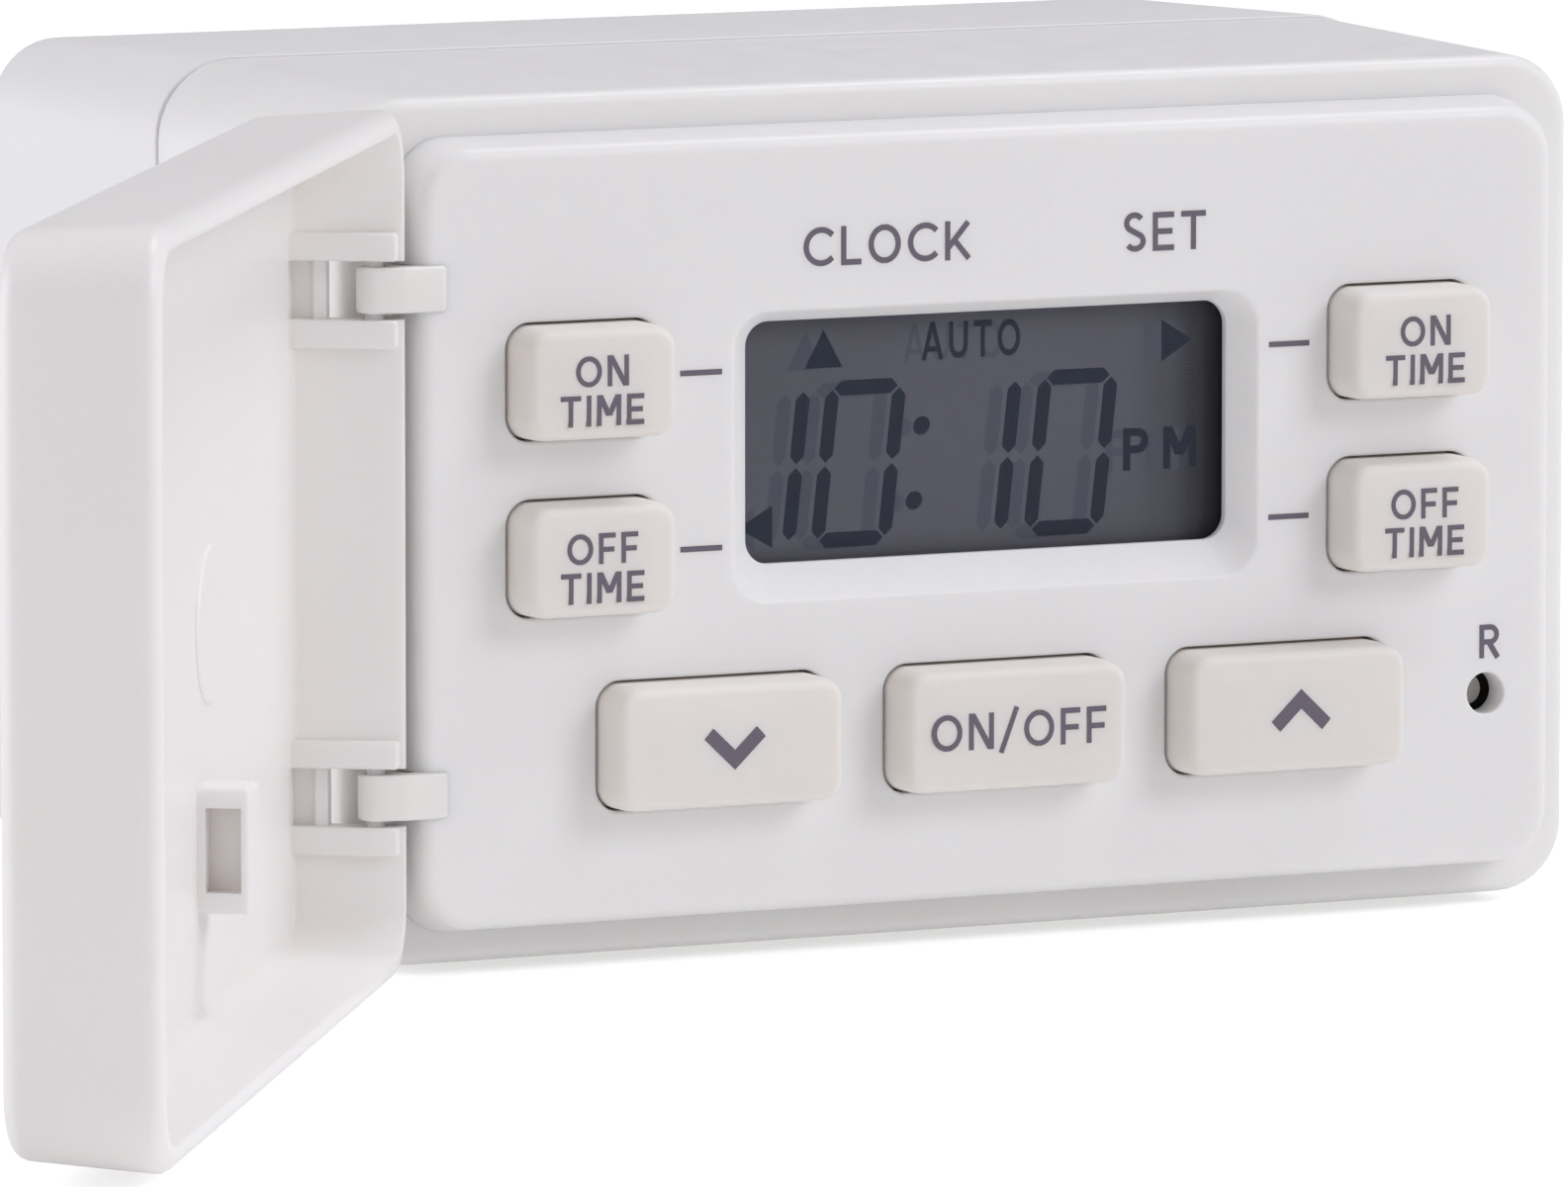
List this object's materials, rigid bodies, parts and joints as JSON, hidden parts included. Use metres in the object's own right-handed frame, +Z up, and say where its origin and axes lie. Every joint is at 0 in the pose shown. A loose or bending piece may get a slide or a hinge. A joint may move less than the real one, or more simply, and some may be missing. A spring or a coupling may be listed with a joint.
{
  "type": "plug-in digital timer",
  "caption": "White plug-in digital timer: two-part casing, raised panel with silicone keys and display, hinged front cover, plug at the back, outlet on the right side.",
  "frame": {"origin": "centre of the flat back face, which meets the wall outlet", "axes": "+Z up, +Y out of the back towards the wall, -Y out of the front, +X to the right as seen from the front"},
  "size_m": [0.1417, 0.1519, 0.0564],
  "materials": {
    "casing_white": "satin white moulded plastic",
    "panel_white": "satin white moulded plastic",
    "cover_white": "satin white moulded plastic, slightly translucent",
    "hinge_white": "natural white moulded plastic",
    "key_silicone": "soft matt warm beige silicone",
    "mat_silicone": "soft matt silicone sheet",
    "clear_lens": "clear gloss acrylic",
    "lcd_glass": "grey display glass",
    "lcd_rubber": "layered conductive rubber",
    "board_green": "green solder resist on glass-fibre board",
    "black_plastic": "matt black moulding",
    "cell_steel": "nickel-plated steel",
    "ribbon_grey": "grey flat cable",
    "relay_blue": "blue sealed relay case",
    "capacitor_yellow": "yellow capacitor box",
    "capacitor_dark": "dark sleeve on aluminium can",
    "brass": "plain brass strip",
    "screw_steel": "zinc-plated steel",
    "plunger_grey": "moulded plunger"
  },
  "bodies": {
    "casing": {"front_housing": "casing_white", "rear_housing": "casing_white", "fascia_panel": "panel_white", "hinge_arms": "hinge_white", "keypad_mat": "mat_silicone", "display_lens": "clear_lens", "lcd_glass": "lcd_glass", "lcd_connectors": "lcd_rubber", "control_board": "board_green", "controller_chip": "black_plastic", "backup_cell": "cell_steel", "reset_switch": "black_plastic", "ribbon_cable": "ribbon_grey", "power_board": "board_green", "relay": "relay_blue", "filter_capacitor": "capacitor_yellow", "smoothing_capacitor": "capacitor_dark", "line_blade": "brass", "neutral_blade": "brass", "earth_pin": "brass", "line_contact": "brass", "neutral_contact": "brass", "earth_contact": "brass", "contact_carrier": "black_plastic", "housing_screws": "screw_steel", "board_screws": "screw_steel", "power_board_screws": "screw_steel"},
    "cover": {"front_cover": "cover_white"},
    "key_on_left_body": {"key_on_left": "key_silicone"},
    "key_off_left_body": {"key_off_left": "key_silicone"},
    "key_on_right_body": {"key_on_right": "key_silicone"},
    "key_off_right_body": {"key_off_right": "key_silicone"},
    "key_down_body": {"key_down": "key_silicone"},
    "key_on_off_body": {"key_on_off": "key_silicone"},
    "key_up_body": {"key_up": "key_silicone"},
    "reset_body": {"reset_plunger": "plunger_grey"}
  },
  "joints": [
    {"name": "cover_hinge", "type": "hinge", "parent": "casing", "child": "cover", "pos_m": [-0.0428, -0.0584, 0], "axis": [0, 0, 1], "range_deg": [-4, 124]},
    {"name": "press_on_left", "type": "slide", "parent": "casing", "child": "key_on_left_body", "axis": [0, 1, 0], "range_m": [0, 0.001], "stiffness_N_per_m": 400},
    {"name": "press_off_left", "type": "slide", "parent": "casing", "child": "key_off_left_body", "axis": [0, 1, 0], "range_m": [0, 0.001], "stiffness_N_per_m": 400},
    {"name": "press_on_right", "type": "slide", "parent": "casing", "child": "key_on_right_body", "axis": [0, 1, 0], "range_m": [0, 0.001], "stiffness_N_per_m": 400},
    {"name": "press_off_right", "type": "slide", "parent": "casing", "child": "key_off_right_body", "axis": [0, 1, 0], "range_m": [0, 0.001], "stiffness_N_per_m": 400},
    {"name": "press_down", "type": "slide", "parent": "casing", "child": "key_down_body", "axis": [0, 1, 0], "range_m": [0, 0.001], "stiffness_N_per_m": 400},
    {"name": "press_on_off", "type": "slide", "parent": "casing", "child": "key_on_off_body", "axis": [0, 1, 0], "range_m": [0, 0.001], "stiffness_N_per_m": 400},
    {"name": "press_up", "type": "slide", "parent": "casing", "child": "key_up_body", "axis": [0, 1, 0], "range_m": [0, 0.001], "stiffness_N_per_m": 400},
    {"name": "press_reset", "type": "slide", "parent": "casing", "child": "reset_body", "axis": [0, 1, 0], "range_m": [0, 0.0003], "stiffness_N_per_m": 400}
  ]
}
